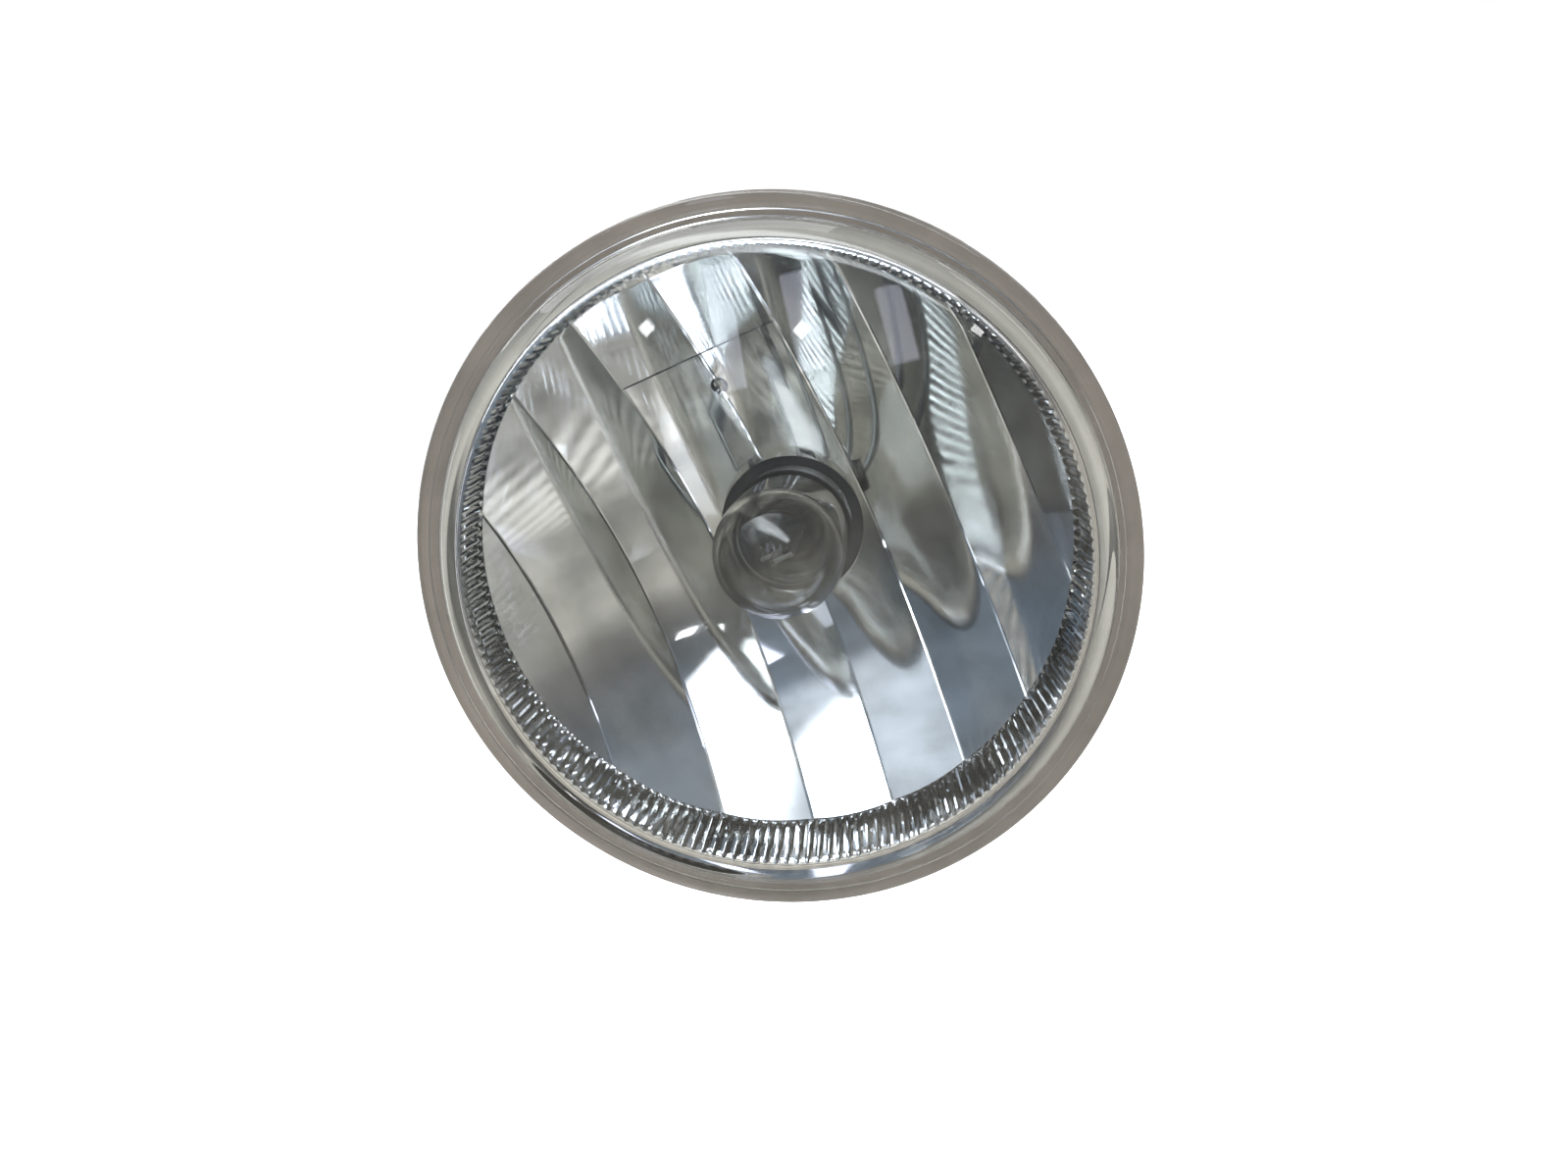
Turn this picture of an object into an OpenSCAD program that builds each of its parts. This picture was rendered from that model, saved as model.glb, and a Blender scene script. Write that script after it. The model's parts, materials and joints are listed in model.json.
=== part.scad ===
// Round fog light: a lamp module that tilts in a fixed bracket and is aimed by a screw.
// The lamp faces -Y and +Z is up. The origin is on the optical axis, level with the rear mounting face.
// A depth is a distance along the optical axis, rearwards from the front plane of the lens flange.

/* [Lamp] */
// Outside diameter of the lens flange
lamp_d = 100; // [99.6:0.1:100.4]
// Height of the lens dome in front of the flange plane
dome_h = 9; // [8.5:0.5:9.5]
// Wall thickness of the lens
lens_wall = 2; // [1.8:0.1:2.2]

/* [Reflector] */
// Radius of the bowl that the mirror strips follow
bowl_r = 52; // [51.6:0.1:52.4]
// Depth of the bowl's deepest point
bowl_depth = 28; // [27.6:0.1:28]
// Width of one upright mirror strip
flute_pitch = 12; // [11:0.5:12]
// How far each strip bulges forward at its middle
flute_rise = 0.7; // [0.4:0.1:0.8]
// Half the height of the mirror between its flat shelves
shelf_z = 41.5; // [40.5:0.5:42]
// Number of upright flutes round the wall in front of the mirror
rib_count = 180; // [120:12:204]
// Radius of the hole for the bulb
bulb_hole_r = 10.9; // [10.6:0.1:11]

/* [Bulb] */
// Outside radius of the bulb glass
bulb_r = 9.4; // [9:0.1:9.6]
// Depth of the centre of the filament
filament_depth = 7.5; // [6:0.5:9]
// Length of the filament coil
filament_len = 4.6; // [4:0.2:5]
// Angle that the bulb turns to come out of its ring
bulb_turn = 45; // [40:1:50]

/* [Aiming] */
// Depth of the tilt axis
pivot_depth = 24; // [23.8:0.1:24.2]
// Distance from the tilt axis down to the aiming screw
lever_z = 43.5; // [43.2:0.1:43.6]
// Radius of the aiming screw's thread
screw_r = 2.5; // [2.4:0.1:2.5]

/* [Bracket] */
// Depth of the rear mounting face
face_depth = 43; // [42.9:0.1:43.2]
// Height of the bosses between the ring plate and the mounting face
boss_h = 7; // [6.9:0.1:7]
// Thickness of the ring plate
plate_t = 3; // [2.6:0.1:3]
// Pitch circle diameter of the mounting studs
stud_pcd = 76; // [75:0.5:77]
// Radius of a mounting stud
stud_r = 2.5; // [2.4:0.1:2.6]
// Length of a stud behind the mounting face
stud_len = 12; // [10:1:16]

/* [Hidden] */
lamp_r = lamp_d / 2;
flange_y = -face_depth;
bowl_c = bowl_depth - bowl_r;
lathe_fn = 128;
round_fn = 48;

// Lens: flange, rounded shoulder, dome and skirt
flange_front = 0.4;
flange_back = 2.2;
shoulder_r = lamp_r - 3.1;
dome_edge_r = 44.6;
dome_edge_d = -2.4;
dome_sag = dome_h + dome_edge_d;
dome_R = (dome_edge_r * dome_edge_r + dome_sag * dome_sag) / (2 * dome_sag);
skirt_out_r = 45.2;
skirt_in_r = 43.7;
skirt_front = 0.2;

// Reflector and the shells behind it
mirror_r = 42.5;
wall_out_r = 43.6;
wall_valley_r = 43.2;
wall_tip_r = 42.7;
wall_front = 0.6;
rim_front = 5.2;
rim_back = 7.2;
channel_r = 46.8;
rim_r = 46.6;
bowl_edge_r = 44.1;
strip_count = 8;
reflector_wall = 2;
shell_gap = 0.8;
shell_wall = 2.2;
reflector_back_R = bowl_r + reflector_wall;
shell_in_R = reflector_back_R + shell_gap;
shell_out_R = shell_in_R + shell_wall;
reflector_neck_r = bulb_hole_r + 2;
reflector_neck_d = 30.5;
breather_r = 1.5;
breather_z = 24;

// Housing
housing_flange_back = 4.2;
rim_wall_r = lamp_r - 1.2;
rim_wall_back = 7.6;
collar_r = 22.5;
collar_back = 36;
neck_bore_r = reflector_neck_r + 0.4;
recess_r = 17;
recess_front = 32;
shell_edge_r = 46.6;
rib_R = shell_out_R + 2.2;
rib_t = 2;
rib_edge_r = 46.2;
boss_root_x = 24;
spigot_root = 16;
vent_cap_r = 5.2;
vent_cap_d = [26.4, 30.6];
membrane_t = 0.3;
rib_angles = [30, 60, 120, 150, 210, 240, 300, 330];
spigot_r = 3.5;
spigot_bore = 2;
spigot_back = 28.6;
vent_angle = 45;
vent_out = 33;

// Bulb ring
ring_lip_r = 12.2;
ring_slot_r = 14.6;
ring_slot_d = [33, 35];
notch_r = 14.4;
ring_flange_r = 22;
ring_back = 37.2;
ring_screw_pcr = 19.5;
ring_screw_angles = [30, 150, 270];
ring_screw_r = 1.2;
ring_screw_len = 5;
ring_screw_head_r = 2.1;
ring_screw_head_t = 1.3;
ring_screw_socket_r = 0.9;
key_angles = [90, 210, 330];

// Bulb
bulb_wall = 0.9;
bulb_dome_d = 10;
bulb_tube_d = 24;
bulb_neck_r = 6;
bulb_neck_d = 28;
bulb_end_d = 34;
base_r = 11.8;
base_front = 31;
tab_r = 14.2;
tab_w = 6.4;
notch_w = tab_w + 1;
tab_d = [33.3, 34.7];
base_flange_r = 16.5;
base_flange_d = [38.9, 41];
grip_r = 14;
grip_back = 46;
grip_flute_r = 1.6;
seal_cord_r = 0.75;
inlet_size = [17, 13];
inlet_hole = [13.4, 9.4];
inlet_floor = 47.5;
inlet_back = 56;
blade_x = 3.2;
blade_size = [0.8, 2.8];
blade_d = [44, 55];
wire_x = 2.6;
wire_r = 0.35;
pinch_front = 20;
pinch_w = 7;
pinch_half_t = 1.3;
filament_r = 0.7;

// Aiming gear
boss_x = 38.2;
boss_r = 6.5;
insert_x = 32.6;
insert_r = 3.2;
thread_r = 2;
shoulder_pin_r = 3;
pin_head_r = 5;
pin_head_t = 2.4;
pin_socket_r = 1.75;
running_gap = 0.05;
bush_r = 4.5;
bush_flange_r = 6;
ball_r = 4.4;
ball_gap = 0.25;
nut_half = 4;
tang_half = 2;
tang_half_d = 1.5;
tang_drop = 0.8;
slot_half = 2.4;
lug_half_w = 7;
lug_d = [19.7, 28.3];
lug_z = [-49.2, -28];
lug_hole_r = screw_r + 0.9;
screw_front = 18.2;
screw_head_d = [38, 42];
screw_head_r = 4.6;
screw_socket_r = 1.8;
clip_mouth = 2.4;
washer_t = 0.8;
clip_d = [31.5, 32.5];
clip_groove_r = 2;
clip_r = 4.4;
guide_r = 3.4;
guide_flange_r = 5.2;
washer_r = 5.2;

// Bracket
plate_back = face_depth - boss_h;
plate_front = plate_back - plate_t;
plate_in_r = 25;
plate_out_r = 47;
lip_t = 1.8;
lip_h = 1.6;
guide_boss_r = 6;
arm_x = [39.5, 42.5];
arm_root_z = 12;
arm_end_r = 6.5;
stud_angles = [90, 210, 330];
stud_head_r = 5;
stud_head_t = 2.4;
stud_knurl_r = stud_r + 0.3;
stud_boss_r = 7;

// Depth of a bowl of radius R, centred with the mirror's bowl, at a distance r from the axis
function bowl_at(r, R) = bowl_c + sqrt(R * R - r * r);

// Points along such a bowl from one radius to another
function bowl_arc(R, r0, r1, n = 14) =
    [for (i = [0:n]) let (r = r0 + (r1 - r0) * i / n) [r, bowl_at(r, R)]];

// Points along the lens dome, moved rearwards by an offset
function dome_arc(r0, r1, back, n = 14) =
    [for (i = [0:n]) let (r = r0 + (r1 - r0) * i / n)
        [r, -dome_h + dome_R - sqrt(dome_R * dome_R - r * r) + back]];

// Quarter-round points from a start, turning to an end, in the plane of a profile
function quarter(cx, cy, rx, ry, a0, a1, n = 6) =
    [for (i = [0:n]) let (a = a0 + (a1 - a0) * i / n) [cx + rx * cos(a), cy + ry * sin(a)]];

// Turns a profile of [radius, depth] points about the optical axis
module lathe(profile) {
    translate([0, flange_y, 0])
        rotate([-90, 0, 0])
            rotate_extrude($fn = lathe_fn)
                polygon(profile);
}

// A round bar parallel to the optical axis, between two depths
module bar(r, d0, d1, x = 0, z = 0, sides = round_fn) {
    translate([x, flange_y + d0, z])
        rotate([-90, 0, 0])
            cylinder(r = r, h = d1 - d0, $fn = sides);
}

// A round bar parallel to the tilt axis, on that axis
module cross_bar(r, x0, x1, sides = round_fn) {
    translate([x0, flange_y + pivot_depth, 0])
        rotate([0, 90, 0])
            cylinder(r = r, h = x1 - x0, $fn = sides);
}

// A box centred on the optical plane, between two depths
module block(w, z0, z1, d0, d1, x = 0) {
    translate([x - w / 2, flange_y + d0, z0])
        cube([w, d1 - d0, z1 - z0]);
}

// Copies at angles about the optical axis, measured from +X towards +Z
module around(angles) {
    for (a = angles)
        rotate([0, -a, 0])
            children();
}

// Mirrors a right-hand part to the left
module left() {
    mirror([1, 0, 0])
        children();
}

module lens() {
    color("lightcyan", 0.5)
        lathe(concat(
            dome_arc(0, dome_edge_r, 0),
            quarter(dome_edge_r, flange_front, shoulder_r - dome_edge_r,
                flange_front - dome_edge_d, -75, 0),
            [[lamp_r - 0.4, flange_front], [lamp_r, flange_front + 0.4],
             [lamp_r, flange_back], [skirt_out_r, flange_back],
             [skirt_out_r, rim_front], [skirt_in_r, rim_front],
             [skirt_in_r, skirt_front], [dome_edge_r - 1, dome_edge_d + lens_wall]],
            dome_arc(dome_edge_r - 1.6, 0, lens_wall)));
}

module lens_seal() {
    color("dimgray")
        lathe([[skirt_out_r, flange_back], [channel_r, flange_back],
            [channel_r, rim_front], [skirt_out_r, rim_front]]);
}

// A scalloped wheel turned about a level axis: its tread shapes the eight upright mirror strips
module mirror_cutter() {
    steps = 6;
    reach = mirror_r - 0.01;
    tread = [for (k = [0:strip_count - 1], i = [0:steps - 1])
        let (x = (k - strip_count / 2 + i / steps) * flute_pitch, u = 2 * i / steps - 1)
            if (abs(x) < reach)
                [sqrt(bowl_r * bowl_r - x * x) - flute_rise * (1 - u * u), x]];
    edge = sqrt(bowl_r * bowl_r - reach * reach);
    intersection() {
        translate([0, flange_y + bowl_c, 0])
            rotate([0, 90, 0])
                rotate_extrude($fn = lathe_fn)
                    polygon(concat([[0, -reach], [edge, -reach]], tread, [[edge, reach], [0, reach]]));
        block(2 * lamp_r, -shelf_z, shelf_z, 0, bowl_depth + 1);
    }
}

// The wall between the mirror and the lens dome, with a ring of fine upright flutes inside
module fluted_wall() {
    tooth = 360 / rib_count;
    translate([0, flange_y + wall_front, 0])
        rotate([-90, 0, 0])
            linear_extrude(rim_front - wall_front)
                difference() {
                    circle(r = wall_out_r, $fn = lathe_fn);
                    polygon([for (i = [0:2 * rib_count - 1])
                        let (r = i % 2 == 0 ? wall_tip_r : wall_valley_r)
                            [r * cos(i * tooth / 2), r * sin(i * tooth / 2)]]);
                }
}

module reflector() {
    color("gainsboro")
        union() {
            difference() {
                lathe(concat([[0, rim_front], [rim_r, rim_front], [rim_r, rim_back], [bowl_edge_r, rim_back]],
                    bowl_arc(reflector_back_R, bowl_edge_r - 0.3, reflector_neck_r),
                    [[reflector_neck_r, reflector_neck_d], [0, reflector_neck_d]]));
                mirror_cutter();
                bar(bulb_hole_r, rim_front, reflector_neck_d + 1, sides = lathe_fn);
                bar(breather_r, rim_front, bowl_depth, z = breather_z);
            }
            fluted_wall();
        }
}

// The space inside the housing, open at the front and at the bulb's recess
module housing_cavity() {
    lathe(concat([[0, 0], [channel_r, 0], [channel_r, rim_back], [bowl_edge_r + 0.1, rim_back]],
        bowl_arc(shell_in_R, bowl_edge_r, neck_bore_r),
        [[neck_bore_r, recess_front], [recess_r, recess_front],
         [recess_r, collar_back + 1], [0, collar_back + 1]]));
}

module housing_ribs() {
    around(rib_angles)
        intersection() {
            lathe(concat([[collar_r - 1, rim_wall_back], [rib_edge_r, rim_wall_back]],
                bowl_arc(rib_R, rib_edge_r, collar_r - 1)));
            translate([0, flange_y, -rib_t / 2])
                cube([lamp_r, face_depth, rib_t]);
        }
}

module housing() {
    color("dimgray")
        difference() {
            union() {
                lathe(concat([[0, flange_back], [lamp_r, flange_back],
                    [lamp_r, housing_flange_back], [rim_wall_r, housing_flange_back],
                    [rim_wall_r, rim_wall_back]],
                    bowl_arc(shell_out_R, shell_edge_r, collar_r),
                    [[collar_r, collar_back], [0, collar_back]]));
                housing_ribs();
                cross_bar(boss_r, boss_root_x, boss_x);
                left() cross_bar(boss_r, boss_root_x, boss_x);
                block(2 * lug_half_w, lug_z[0], lug_z[1], lug_d[0], lug_d[1]);
                around([vent_angle])
                    bar(spigot_r, spigot_root, spigot_back, x = vent_out);
            }
            housing_cavity();
            cross_bar(insert_r, insert_x, boss_x + 1);
            left() cross_bar(insert_r, insert_x, boss_x + 1);
            translate([0, flange_y + pivot_depth, -lever_z])
                sphere(r = ball_r + ball_gap, $fn = round_fn);
            bar(lug_hole_r, lug_d[0] - 1, lug_d[1] + 1, z = -lever_z);
            block(2 * slot_half, lug_z[0] - 1, -lever_z, lug_d[0] - 1, lug_d[1] + 1);
            around([vent_angle])
                bar(spigot_bore, spigot_root - 2, spigot_back + 1, x = vent_out);
            around(ring_screw_angles)
                bar(ring_screw_r, collar_back - ring_screw_len, collar_back + 1, x = ring_screw_pcr);
        }
}

module socket_ring() {
    color("darkgray")
        difference() {
            lathe([[ring_lip_r, recess_front], [recess_r, recess_front], [recess_r, collar_back],
                [ring_flange_r, collar_back], [ring_flange_r, ring_back], [ring_lip_r, ring_back],
                [ring_lip_r, ring_slot_d[1]], [ring_slot_r, ring_slot_d[1]],
                [ring_slot_r, ring_slot_d[0]], [ring_lip_r, ring_slot_d[0]]]);
            around([for (a = key_angles) a - bulb_turn])
                intersection() {
                    bar(notch_r, ring_slot_d[0] + 1, ring_back + 1);
                    translate([0, flange_y, -notch_w / 2])
                        cube([lamp_r, face_depth, notch_w]);
                }
            around(ring_screw_angles)
                bar(ring_screw_r, collar_back - 1, ring_back + 1, x = ring_screw_pcr);
        }
}

module socket_ring_screws() {
    color("silver")
        around(ring_screw_angles)
            difference() {
                union() {
                    bar(ring_screw_r, collar_back - ring_screw_len, ring_back, x = ring_screw_pcr);
                    bar(ring_screw_head_r, ring_back, ring_back + ring_screw_head_t, x = ring_screw_pcr);
                }
                bar(ring_screw_socket_r, ring_back + 0.5, ring_back + 2, x = ring_screw_pcr, sides = 6);
            }
}

module pivot_insert() {
    color("goldenrod")
        difference() {
            cross_bar(insert_r, insert_x, boss_x);
            cross_bar(thread_r, insert_x - 1, boss_x + 1);
        }
}

module pivot_pin() {
    head_x = arm_x[1] + 0.8;
    color("silver")
        difference() {
            union() {
                cross_bar(thread_r, insert_x, boss_x);
                cross_bar(shoulder_pin_r, boss_x, head_x);
                cross_bar(pin_head_r, head_x, head_x + pin_head_t);
            }
            cross_bar(pin_socket_r, head_x + 0.8, head_x + 3, sides = 6);
        }
}

module pivot_bush() {
    color("ivory")
        difference() {
            union() {
                cross_bar(bush_r, arm_x[0], arm_x[1] + 0.4);
                cross_bar(bush_flange_r, arm_x[0] - 0.9, arm_x[0]);
            }
            cross_bar(shoulder_pin_r + running_gap, boss_x, arm_x[1] + 1);
        }
}

// Flexible cap over the breather spigot, with two side vents
module vent_cap() {
    color("black")
        around([vent_angle])
            difference() {
                bar(vent_cap_r, vent_cap_d[0], vent_cap_d[1], x = vent_out);
                bar(spigot_r, vent_cap_d[0] - 1, spigot_back + 0.8, x = vent_out);
                for (side = [-1, 1])
                    block(4, -0.4, 0.4, spigot_back + membrane_t, spigot_back + 0.8,
                        x = vent_out + side * vent_cap_r);
            }
}

module vent_membrane() {
    color("white")
        around([vent_angle])
            bar(spigot_r, spigot_back, spigot_back + membrane_t, x = vent_out);
}

// Side view of a bracket arm: tapers from the plate to a round end about the tilt axis
module arm_profile() {
    union() {
        circle(r = arm_end_r, $fn = round_fn);
        polygon([[0, -arm_end_r], [0, arm_end_r],
            [plate_front - pivot_depth, arm_root_z], [plate_back - pivot_depth, arm_root_z],
            [plate_back - pivot_depth, -arm_root_z], [plate_front - pivot_depth, -arm_root_z]]);
    }
}

module bracket_arm() {
    translate([arm_x[0], flange_y + pivot_depth, 0])
        rotate([90, 0, 90])
            linear_extrude(arm_x[1] - arm_x[0])
                arm_profile();
}

module bracket() {
    color([0.13, 0.13, 0.14])
        difference() {
            union() {
                lathe([[plate_in_r, plate_front], [plate_out_r, plate_front],
                    [plate_out_r, plate_back], [plate_in_r, plate_back]]);
                lathe([[plate_in_r, plate_front - lip_h], [plate_in_r + lip_t, plate_front - lip_h],
                    [plate_in_r + lip_t, plate_back], [plate_in_r, plate_back]]);
                bar(guide_boss_r, plate_front, plate_back, z = -lever_z);
                around(stud_angles)
                    bar(stud_boss_r, plate_front, face_depth, x = stud_pcd / 2);
                bracket_arm();
                left() bracket_arm();
            }
            cross_bar(bush_r, arm_x[0] - 1, arm_x[1] + 1);
            left() cross_bar(bush_r, arm_x[0] - 1, arm_x[1] + 1);
            bar(guide_r, plate_front - 1, plate_back + 1, z = -lever_z);
            around(stud_angles)
                bar(stud_knurl_r, plate_front - 1, face_depth + 1, x = stud_pcd / 2);
        }
}

module mount_studs() {
    color("silver")
        around(stud_angles)
            union() {
                bar(stud_head_r, plate_front - stud_head_t, plate_front, x = stud_pcd / 2);
                bar(stud_knurl_r, plate_front - 1, face_depth, x = stud_pcd / 2);
                bar(stud_r, face_depth - 1, face_depth + stud_len, x = stud_pcd / 2);
            }
}

module adjuster_bush() {
    color("ivory")
        difference() {
            union() {
                bar(guide_r, plate_front - 0.3, plate_back, z = -lever_z);
                bar(guide_flange_r, plate_back, plate_back + 1, z = -lever_z);
            }
            bar(screw_r + running_gap, plate_front - 1, plate_back + 2, z = -lever_z);
        }
}

module adjuster_screw() {
    color("silver")
        difference() {
            union() {
                bar(screw_r, screw_front, clip_d[0], z = -lever_z);
                bar(clip_groove_r, clip_d[0] - 1, clip_d[1] + 1, z = -lever_z);
                bar(screw_r, clip_d[1], screw_head_d[0], z = -lever_z);
                bar(screw_head_r, screw_head_d[0], screw_head_d[1], z = -lever_z, sides = 6);
            }
            bar(screw_socket_r, screw_head_d[0] + 1.5, screw_head_d[1] + 1, z = -lever_z, sides = 6);
        }
}

module adjuster_washer() {
    color("silver")
        difference() {
            bar(washer_r, screw_head_d[0] - washer_t, screw_head_d[0], z = -lever_z);
            bar(screw_r, screw_head_d[0] - 2, screw_head_d[0] + 1, z = -lever_z);
        }
}

// Spring clip in the screw's groove, open on one side
module adjuster_clip() {
    color("dimgray")
        difference() {
            bar(clip_r, clip_d[0], clip_d[1], z = -lever_z);
            bar(clip_groove_r, clip_d[0] - 1, clip_d[1] + 1, z = -lever_z);
            block(clip_mouth, -lever_z, -lever_z + clip_r + 1, clip_d[0] - 1, clip_d[1] + 1);
        }
}

// Ball nut: a flat tang in the lug's slot keeps it from turning with the screw
module adjuster_nut() {
    color("ivory")
        difference() {
            union() {
                intersection() {
                    translate([0, flange_y + pivot_depth, -lever_z])
                        sphere(r = ball_r, $fn = round_fn);
                    block(2 * ball_r, -lever_z - ball_r, -lever_z + ball_r,
                        pivot_depth - nut_half, pivot_depth + nut_half);
                }
                block(2 * tang_half, -lever_z - ball_r - tang_drop, -lever_z,
                    pivot_depth - tang_half_d, pivot_depth + tang_half_d);
            }
            bar(screw_r + running_gap, pivot_depth - ball_r - 1, pivot_depth + ball_r + 1, z = -lever_z);
        }
}

module bulb_base() {
    color([0.2, 0.2, 0.22])
        difference() {
            union() {
                bar(base_r, base_front, base_flange_d[0]);
                bar(base_flange_r, base_flange_d[0], base_flange_d[1]);
                difference() {
                    bar(grip_r, base_flange_d[1], grip_back);
                    around([for (a = [0:30:330]) a])
                        bar(grip_flute_r, base_flange_d[1] + 0.8, grip_back + 1, x = grip_r + 0.5);
                }
                block(inlet_size[0], -inlet_size[1] / 2, inlet_size[1] / 2, grip_back, inlet_back);
                around(key_angles)
                    intersection() {
                        bar(tab_r, tab_d[0], tab_d[1]);
                        translate([0, flange_y, -tab_w / 2])
                            cube([lamp_r, face_depth, tab_w]);
                    }
            }
            bar(bulb_neck_r, base_front - 1, bulb_end_d);
            block(inlet_hole[0], -inlet_hole[1] / 2, inlet_hole[1] / 2, inlet_floor, inlet_back + 1);
            for (s = [-1, 1])
                block(blade_size[0], -blade_size[1] / 2, blade_size[1] / 2,
                    blade_d[0], inlet_floor + 1, x = s * blade_x);
        }
}

module bulb_seal_ring() {
    color("indianred")
        translate([0, flange_y + base_flange_d[0] - seal_cord_r, 0])
            rotate([-90, 0, 0])
                rotate_extrude($fn = lathe_fn)
                    translate([ring_lip_r + 1.8, 0])
                        circle(r = seal_cord_r, $fn = 24);
}

module bulb_collar() {
    color("silver")
        lathe([[bulb_neck_r, bulb_neck_d + 0.4], [bulb_neck_r + 1.4, bulb_neck_d + 0.4],
            [bulb_neck_r + 3, bulb_neck_d + 1.6], [bulb_neck_r + 3, base_front], [bulb_neck_r, base_front]]);
}

module bulb_glass() {
    inner_r = bulb_r - bulb_wall;
    color("lightgray", 0.5)
        lathe(concat(
            quarter(0, bulb_dome_d, bulb_r, bulb_r, -90, 0, 12),
            [[bulb_r, bulb_tube_d], [bulb_neck_r, bulb_neck_d], [bulb_neck_r, bulb_end_d],
             [bulb_neck_r - bulb_wall, bulb_end_d], [bulb_neck_r - bulb_wall, bulb_neck_d - 0.4],
             [inner_r, bulb_tube_d - 0.4]],
            quarter(0, bulb_dome_d, inner_r, inner_r, 0, -90, 12)));
}

module bulb_stem() {
    color("lightgray", 0.6)
        union() {
            bar(bulb_neck_r - bulb_wall, base_front, bulb_end_d);
            block(pinch_w, -pinch_half_t, pinch_half_t, pinch_front, base_front + 1);
        }
}

// One lead: a straight leg, a round elbow and an arm to the end of the filament
module lead(side, end_d) {
    leg_x = side * wire_x;
    bar(wire_r, end_d, pinch_front, x = leg_x, sides = 24);
    translate([leg_x, flange_y + end_d, 0])
        sphere(r = wire_r, $fn = 24);
    translate([min(0, leg_x), flange_y + end_d, 0])
        rotate([0, 90, 0])
            cylinder(r = wire_r, h = wire_x, $fn = 24);
}

module bulb_lead_wires() {
    half = filament_len / 2 + wire_r;
    color("gray")
        union() {
            lead(1, filament_depth - half);
            lead(-1, filament_depth + half);
        }
}

module bulb_filament() {
    color("darkgray")
        bar(filament_r, filament_depth - filament_len / 2, filament_depth + filament_len / 2, sides = 24);
}

module bulb_contacts() {
    color("goldenrod")
        for (s = [-1, 1])
            block(blade_size[0], -blade_size[1] / 2, blade_size[1] / 2,
                blade_d[0], blade_d[1], x = s * blade_x);
}

bracket();
mount_studs();
left() pivot_bush();  // pivot_bush_left
pivot_bush();  // pivot_bush_right
adjuster_bush();
housing();
lens();
lens_seal();
reflector();
socket_ring();
socket_ring_screws();
left() pivot_insert();  // pivot_insert_left
pivot_insert();  // pivot_insert_right
left() pivot_pin();  // pivot_pin_left
pivot_pin();  // pivot_pin_right
vent_cap();
vent_membrane();
adjuster_screw();
adjuster_washer();
adjuster_clip();
adjuster_nut();
bulb_base();
bulb_seal_ring();
bulb_collar();
bulb_glass();
bulb_stem();
bulb_lead_wires();
bulb_filament();
bulb_contacts();
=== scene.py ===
import json
import math

import bmesh
import bpy
from mathutils import Matrix, Vector


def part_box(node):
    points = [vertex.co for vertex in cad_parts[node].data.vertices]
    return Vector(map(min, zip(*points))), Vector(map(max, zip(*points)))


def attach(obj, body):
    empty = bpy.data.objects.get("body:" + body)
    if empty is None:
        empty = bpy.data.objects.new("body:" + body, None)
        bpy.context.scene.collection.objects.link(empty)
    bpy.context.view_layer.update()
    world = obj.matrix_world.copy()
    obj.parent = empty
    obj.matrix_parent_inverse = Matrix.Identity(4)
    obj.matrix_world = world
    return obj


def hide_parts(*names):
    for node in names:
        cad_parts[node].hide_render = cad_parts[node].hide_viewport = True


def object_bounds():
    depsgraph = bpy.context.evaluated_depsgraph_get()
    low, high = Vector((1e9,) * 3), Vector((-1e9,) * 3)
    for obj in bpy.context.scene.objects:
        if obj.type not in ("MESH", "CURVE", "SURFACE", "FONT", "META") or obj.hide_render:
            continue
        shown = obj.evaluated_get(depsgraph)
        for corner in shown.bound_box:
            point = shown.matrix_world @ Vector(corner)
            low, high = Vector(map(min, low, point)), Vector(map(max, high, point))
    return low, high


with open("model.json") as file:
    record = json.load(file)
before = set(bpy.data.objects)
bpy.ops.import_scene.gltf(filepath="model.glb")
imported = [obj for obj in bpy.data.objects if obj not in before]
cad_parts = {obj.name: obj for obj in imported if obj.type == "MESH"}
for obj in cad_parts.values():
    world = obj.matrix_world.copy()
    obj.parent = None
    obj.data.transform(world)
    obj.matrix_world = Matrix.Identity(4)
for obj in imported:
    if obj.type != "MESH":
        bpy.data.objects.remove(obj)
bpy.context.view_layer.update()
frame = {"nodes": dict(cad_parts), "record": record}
MM = 0.001
TAU = 2 * math.pi

# The lamp faces -Y. Depths are in millimetres behind the lens flange's front plane.
FLANGE_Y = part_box("housing")[0][1] - 2.2 * MM

# ---------------------------------------------------------------- camera
# The photograph's viewing angle and distance, fitted to the lens, the mirror's hole and the bulb.
AZIMUTH, ELEVATION, ROLL = 12.2, 10.6, 25.0
DISTANCE = 208 * MM
AIM = Vector((0.6 * MM, FLANGE_Y, -3.2 * MM))
LENS_MM, SENSOR_MM = 35.0, 36.0
NEAREST = 0.01


def add_camera():
    cam = bpy.data.objects.new("camera", bpy.data.cameras.new("camera"))
    bpy.context.scene.collection.objects.link(cam)
    cam.data.lens, cam.data.sensor_width = LENS_MM, SENSOR_MM
    cam.data.clip_start = NEAREST
    a, e = math.radians(AZIMUTH), math.radians(ELEVATION)
    away = Vector((math.sin(a) * math.cos(e), -math.cos(a) * math.cos(e), math.sin(e)))
    cam.location = AIM + away * DISTANCE
    turn = (-away).to_track_quat("-Z", "Y").to_matrix().to_4x4()
    roll = Matrix.Rotation(math.radians(-ROLL), 4, "Z")
    cam.matrix_world = Matrix.Translation(cam.location) @ turn @ roll
    bpy.context.scene.camera = cam


add_camera()


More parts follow.
